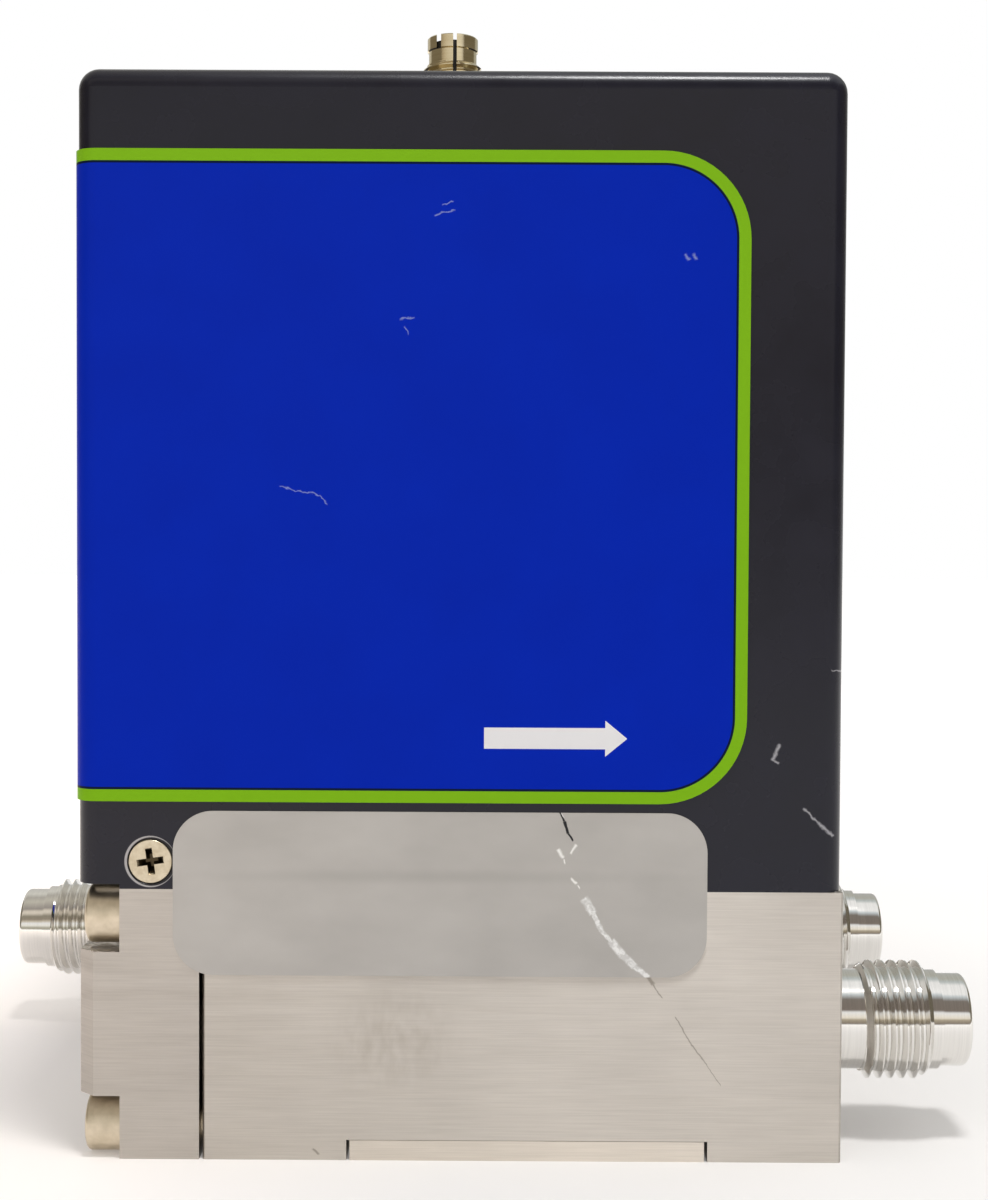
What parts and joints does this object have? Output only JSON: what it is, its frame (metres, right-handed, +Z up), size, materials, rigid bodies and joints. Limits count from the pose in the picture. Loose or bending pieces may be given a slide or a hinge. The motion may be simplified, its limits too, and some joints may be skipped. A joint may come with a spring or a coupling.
{
  "type": "flow ratio controller",
  "caption": "Gas flow ratio controller: brushed steel base with face-seal fittings, dark painted cover, blue label, cracked foil seal and a round top connector.",
  "frame": {"origin": "middle of the base's underside", "axes": "+X with the gas flow, -Y towards the labelled front, +Z up"},
  "size_m": [0.1298, 0.0765, 0.1407],
  "materials": {
    "brushed_stainless": "machined bar stock with a horizontal brushed grain",
    "polished_stainless": "turned and electropolished stainless steel",
    "stainless_screws": "drawn stainless steel, warm grey",
    "nickel_seals": "bare nickel",
    "copper_winding": "fine enamelled wire",
    "plated_sheet": "zinc-plated sheet steel",
    "charcoal_paint": "semi-gloss charcoal powder paint on sheet steel",
    "nickel_screws": "bright nickel plate",
    "printed_label": "printed polyester film, blue with a lime border and a white arrow",
    "seal_foil": "silver-grey foil sticker, cracked at the right",
    "nickel_shell": "nickel-plated brass",
    "tinned_shell": "tin-plated steel stamping",
    "black_moulding": "glass-filled black moulding",
    "gold_contacts": "gold-flashed contacts",
    "green_laminate": "glass-epoxy laminate under green solder mask",
    "machined_aluminium": "machined aluminium",
    "soft_iron": "magnetic stainless steel, ground",
    "coil_tape": "copper winding under a wrap of red-brown tape"
  },
  "bodies": {
    "root": {"base_block": "brushed_stainless", "block_seals": "nickel_seals", "board_chips": "black_moulding", "board_header": "black_moulding", "board_screws": "nickel_screws", "board_standoffs": "nickel_screws", "bottom_insert": "brushed_stainless", "bottom_screws": "stainless_screws", "chassis": "plated_sheet", "chassis_screws": "stainless_screws", "connector_contacts": "gold_contacts", "connector_insert": "black_moulding", "connector_nut": "nickel_shell", "connector_shell": "nickel_shell", "cover": "charcoal_paint", "cover_screws": "nickel_screws", "front_flow_element": "polished_stainless", "front_orifice_seat": "polished_stainless", "front_outlet_fitting": "polished_stainless", "front_pole_piece": "soft_iron", "front_sensor_housing": "machined_aluminium", "front_sensor_tube": "polished_stainless", "front_valve_body": "polished_stainless", "front_valve_coil": "coil_tape", "front_valve_spring": "polished_stainless", "front_valve_yoke": "plated_sheet", "gallery_plug": "stainless_screws", "inlet_block": "brushed_stainless", "inlet_block_screws": "stainless_screws", "inlet_fitting": "polished_stainless", "interface_board": "green_laminate", "jack_screws": "nickel_screws", "label_overlay": "printed_label", "main_board": "green_laminate", "main_board_screws": "nickel_screws", "rear_flow_element": "polished_stainless", "rear_orifice_seat": "polished_stainless", "rear_outlet_fitting": "polished_stainless", "rear_pole_piece": "soft_iron", "rear_sensor_housing": "machined_aluminium", "rear_sensor_tube": "polished_stainless", "rear_valve_body": "polished_stainless", "rear_valve_coil": "coil_tape", "rear_valve_spring": "polished_stainless", "rear_valve_yoke": "plated_sheet", "seal_sticker": "seal_foil", "sensor_screws": "stainless_screws", "sensor_windings": "copper_winding", "signal_connector_body": "black_moulding", "signal_connector_pins": "gold_contacts", "signal_connector_shell": "tinned_shell", "valve_nuts": "stainless_screws", "valve_screws": "stainless_screws"},
    "front_plunger": {"front_valve_plunger": "soft_iron"},
    "rear_plunger": {"rear_valve_plunger": "soft_iron"}
  },
  "joints": [
    {"name": "front_valve_lift", "type": "slide", "parent": "root", "child": "front_plunger", "axis": [0, 0, 1], "range_m": [0, 0.0005], "stiffness_N_per_m": 400, "springref_m": -0.001, "deforming": ["front_valve_spring"]},
    {"name": "rear_valve_lift", "type": "slide", "parent": "root", "child": "rear_plunger", "axis": [0, 0, 1], "range_m": [0, 0.0005], "stiffness_N_per_m": 400, "springref_m": -0.001, "deforming": ["rear_valve_spring"]}
  ]
}
